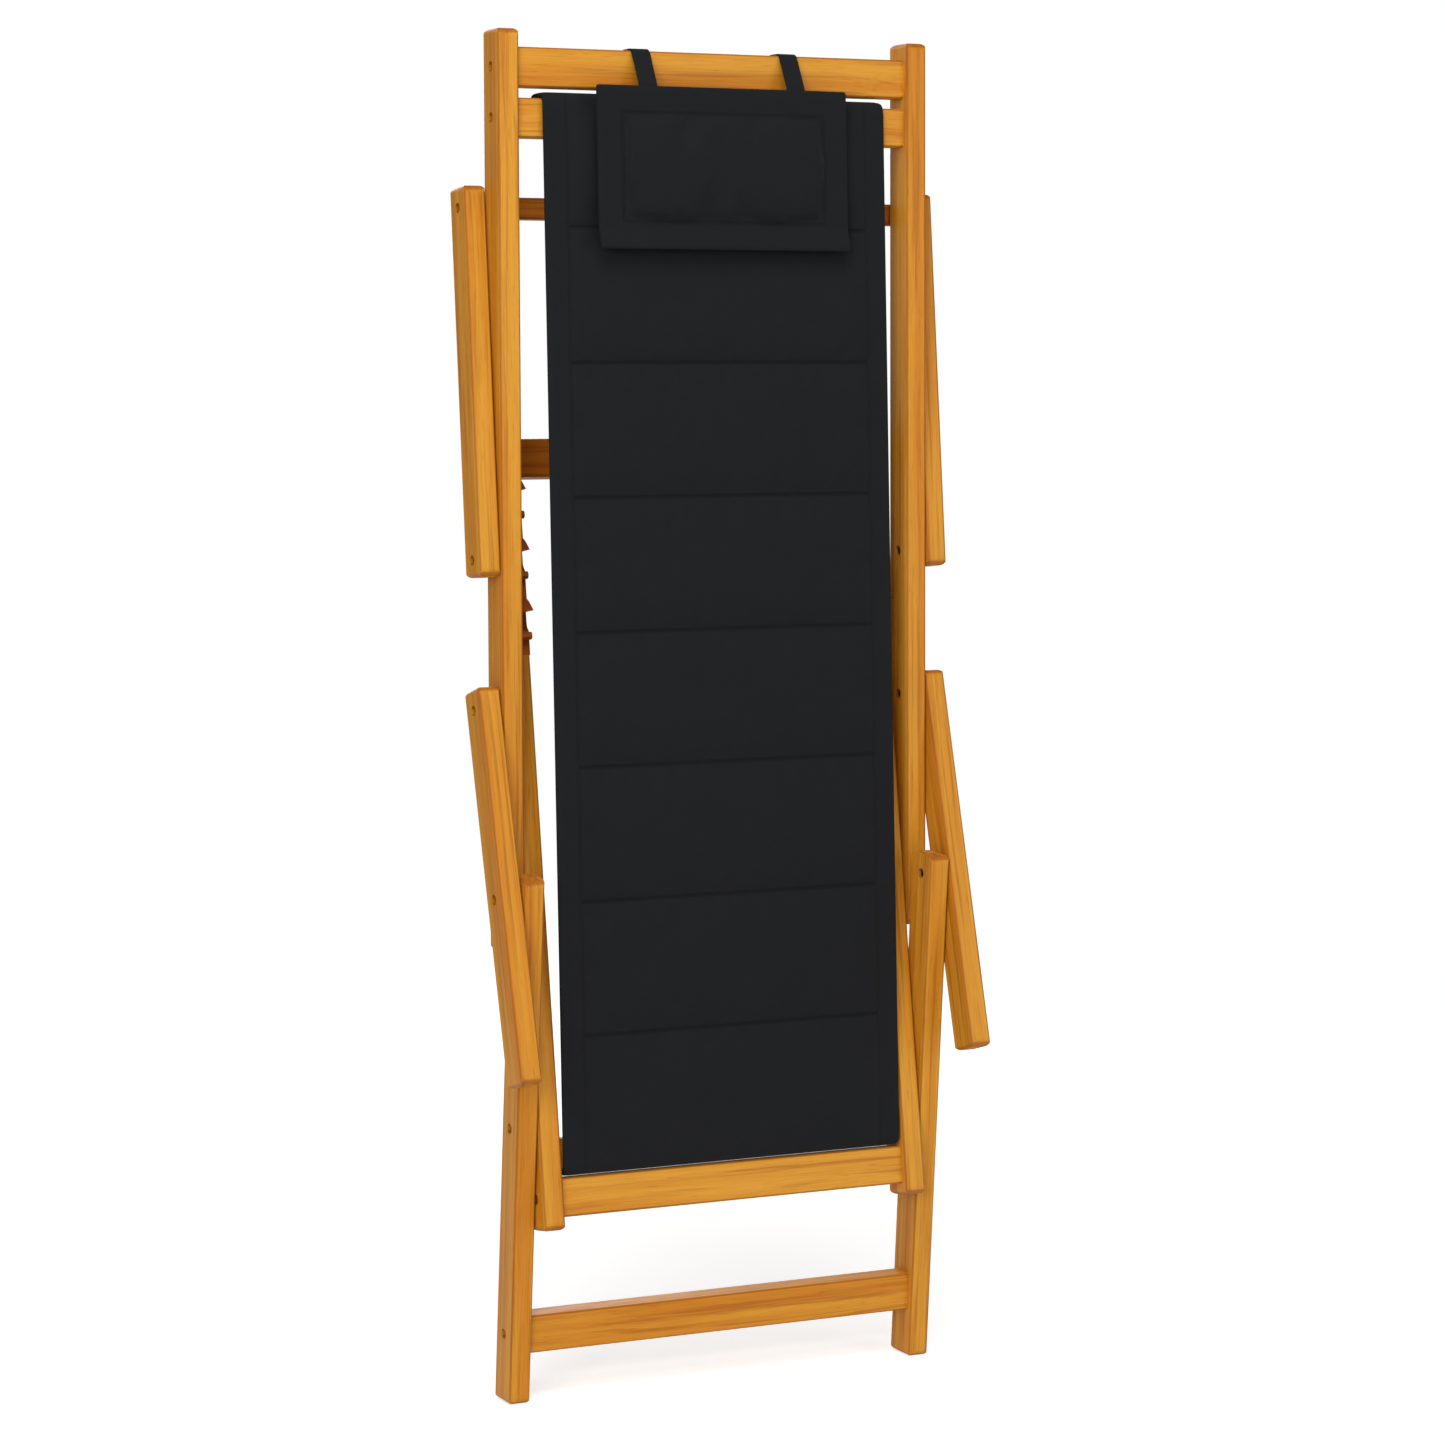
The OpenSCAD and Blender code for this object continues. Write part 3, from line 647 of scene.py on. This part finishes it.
def build_pillow():
    low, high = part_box("pillow")
    centre = (low + high) / 2
    half_w, half_h = (high.x - low.x) / 2, (high.z - low.z) / 2
    columns, rows = 2 * round(half_w / PILLOW_STEP) + 1, 2 * round(half_h / PILLOW_STEP) + 1
    xs = np.linspace(-half_w, half_w, columns)
    zs = np.linspace(half_h, -half_h, rows)
    inner_w, inner_h = half_w - PILLOW_BORDER, half_h - PILLOW_BORDER
    sling_lean = lean_between(middle("sling_knee_rail"), middle("sling_head_rail"))

    def filling(x, z):
        inside = min(inner_w - abs(x), inner_h - abs(z))
        hem = min(half_w - abs(x), half_h - abs(z))
        flat = 2.6 * MM + 0.5 * MM * smooth(hem, 9 * MM, 7 * MM) * smooth(hem, 0.0, 2 * MM)
        return flat + 6.5 * MM * smooth(inside, 0.0, 13 * MM) + 2.0 * MM * smooth(inside, 0.0, 60 * MM)

    def point(i, j, side):
        x, z = xs[j], zs[i]
        droop = 0.8 * MM * math.sin(2.2 * x / half_w) * smooth(-z, 0.0, half_h)
        lip = PILLOW_LIP * smooth(-z, inner_h, half_h)
        y = -side * filling(x, z) + droop - lip
        place = Vector((x, y, z))
        place.rotate(Matrix.Rotation(math.radians(-sling_lean), 3, "X"))
        return tuple(centre + place)

    pillow = slab("pillow_cover", rows, columns, point, lambda i, j: (xs[j], zs[i]))
    pins = [1.0 if min(inner_w - abs(x), inner_h - abs(z)) < 2 * MM else 0.0
            for side in (1, -1) for z in zs for x in xs]
    puff_by_cloth(pillow, pins, PILLOW_PRESSURE, PILLOW_CAP, PILLOW_SHRINK)
    refine(pillow)
    return pillow, inner_w, inner_h, half_w, half_h


def pillow_seams(inner_w, inner_h, half_w, half_h):
    def draw(t, place):
        u, v = (t.math("ABSOLUTE", c) for c in t.split(place)[:2])
        thread_line = crease_and_shade = t.math("MULTIPLY", u, 0.0)
        for w, h in ((inner_w, inner_h), (half_w - 7 * MM, half_h - 7 * MM)):
            for along, across, reach, limit in ((u, v, h, w), (v, u, w, h)):
                within = t.math("LESS_THAN", along, limit)
                row = t.math("MULTIPLY", stitch_row(t, along, across, reach), within)
                thread_line = t.math("MAXIMUM", thread_line, row)
                if w == inner_w:
                    # The crease mask darkens the cloth as painted shade, as well as denting it.
                    line = t.math("MULTIPLY", crease_line(t, across, reach), t.math("MULTIPLY", within, 0.6))
                    crease_and_shade = t.math("MAXIMUM", crease_and_shade, line)
        return thread_line, crease_and_shade
    return draw


pillow, *pillow_sizes = build_pillow()
pillow.data.materials.append(cloth("pillow_cloth", THREAD_PITCH, INK, CHARCOAL,
                                   seams=pillow_seams(*pillow_sizes)))
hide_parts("pillow")
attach(pillow, "back_frame")

# ---- pillow straps ----

STRAP_T = 2.2 * MM


def strap_path():
    """From the pillow's top edge up to the head rail, round it, and back down to the pillow from behind."""
    rail, depth, tall = rail_size("head_rail", LEAN["back"])
    low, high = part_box("pillow")
    lean = LEAN["back"]
    sling_lean = lean_between(middle("sling_knee_rail"), middle("sling_head_rail"))
    pillow_middle = np.array([(low.y + high.y) / 2, (low.z + high.z) / 2])
    edge = pillow_middle + (high.z - low.z) / 2 * up(sling_lean)
    off = SKIN + STRAP_T / 2
    radius = EASE + off
    x, z = depth - EASE, tall - EASE
    path = [edge + np.array([0.0, -8 * MM]), edge + np.array([0.0, 1 * MM])]
    path += corner(rail, lean, -x, z, radius, 160, 90, 6)
    path += corner(rail, lean, x, z, radius, 90, 0, 6)
    path += corner(rail, lean, x, -z, radius, 0, -90, 6)
    path += corner(rail, lean, -x, -z, radius, -90, -140, 4)
    path += [edge + np.array([3.2 * MM, -4 * MM]), edge + np.array([3.2 * MM, -24 * MM])]
    return path


def build_strap(side):
    low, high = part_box("pillow_strap_" + side)
    centre_x, half = (low.x + high.x) / 2, (high.x - low.x) / 2
    at, path, normal = resample(strap_path(), 2.4 * MM)
    for _ in range(2):
        path[1:-1] = (path[:-2] + 2 * path[1:-1] + path[2:]) / 4
    across = [-1.0, -0.93, -0.6, -0.2, 0.2, 0.6, 0.93, 1.0]
    thick = [0.45, 1.0, 1.0, 1.0, 1.0, 1.0, 1.0, 0.45]

    def point(i, j, face):
        y, z = path[i] + face * thick[j] * STRAP_T / 2 * normal[i]
        return (centre_x + across[j] * half, y, z)

    name = "pillow_strap_webbing_" + side
    strap = slab(name, len(at), len(across), point, lambda i, j: (across[j] * half, at[i]))
    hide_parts("pillow_strap_" + side)
    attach(strap, "back_frame")
    return strap


webbing = cloth("strap_webbing", 1.5 * MM, INK, CHARCOAL, lint=0.1, relief=0.35 * MM)
for side in ("left", "right"):
    build_strap(side).data.materials.append(webbing)

# ---- floor and light ----

FLOOR_HALF = 60.0


def make_floor():
    """A wide pale floor that glows a little and runs out into the white around it."""
    corners = [(x * FLOOR_HALF, y * FLOOR_HALF, 0) for x, y in ((-1, -1), (1, -1), (1, 1), (-1, 1))]
    floor = link_mesh("floor", corners, [(0, 1, 2, 3)])
    material, t, shader = new_material("studio_floor")
    place = t.add("TexCoord").outputs["Object"]
    away = t.between(t.add("VectorMath", {0: place}, operation="LENGTH").outputs["Value"], 1.2, 5.0)
    clouds = t.mix(t.noise(place, 3.0, 2.0), colour(0.80, 0.80, 0.80), colour(0.83, 0.83, 0.825))
    t.tree.links.new(t.mix(away, clouds, colour(0, 0, 0)), shader.inputs["Base Color"])
    shine = t.mix(away, colour(0.50, 0.50, 0.50), colour(1, 1, 1))
    t.tree.links.new(shine, shader.inputs["Emission Color"])
    glow = t.between(t.add("LightPath").outputs["Is Camera Ray"], 0.0, 1.0, 0.25, 1.0)
    t.tree.links.new(glow, shader.inputs["Emission Strength"])
    shader.inputs["Roughness"].default_value = 0.9
    shader.inputs["Specular IOR Level"].default_value = 0.0
    floor.data.materials.append(material)


def area_light(name, place, aim, size, power, tint=(1, 1, 1)):
    light = bpy.data.lights.new(name, "AREA")
    light.shape = "RECTANGLE"
    light.size, light.size_y = size
    light.energy = power
    light.color = tint
    lamp = bpy.data.objects.new(name, light)
    bpy.context.scene.collection.objects.link(lamp)
    lamp.location = place
    lamp.rotation_euler = (Vector(aim) - Vector(place)).to_track_quat("-Z", "Y").to_euler()


def make_surroundings():
    """White all round to the eye, and dimmer as light."""
    world = bpy.data.worlds.new("studio")
    bpy.context.scene.world = world
    world.use_nodes = True
    t = Tree(world.node_tree)
    white = world.node_tree.nodes["Background"]
    white.inputs["Strength"].default_value = 1.0
    dim = t.add("Background", {"Color": colour(1.0, 0.97, 0.93), "Strength": 0.26})
    seen = t.add("LightPath").outputs["Is Camera Ray"]
    chosen = t.add("MixShader", {0: seen, 1: dim.outputs[0], 2: white.outputs[0]})
    white.inputs["Color"].default_value = colour(1.0, 1.0, 1.0)
    world_out = next(n for n in world.node_tree.nodes if n.type == "OUTPUT_WORLD")
    world.node_tree.links.new(chosen.outputs[0], world_out.inputs["Surface"])


make_floor()
make_surroundings()
area_light("key", (-3.4, -3.6, 2.2), (0, 0, 0.8), (2.4, 2.6), 120)
area_light("fill", (2.6, -4.4, 1.6), (0, 0, 0.8), (2.4, 2.6), 50)
area_light("rim", (0.8, 4.2, 2.4), (0, 0, 0.9), (2.6, 2.0), 80)
area_light("overhead", (-0.8, -2.0, 4.2), (0, 0, 0.9), (2.2, 1.8), 82)
bpy.context.scene.view_settings.view_transform = "Standard"
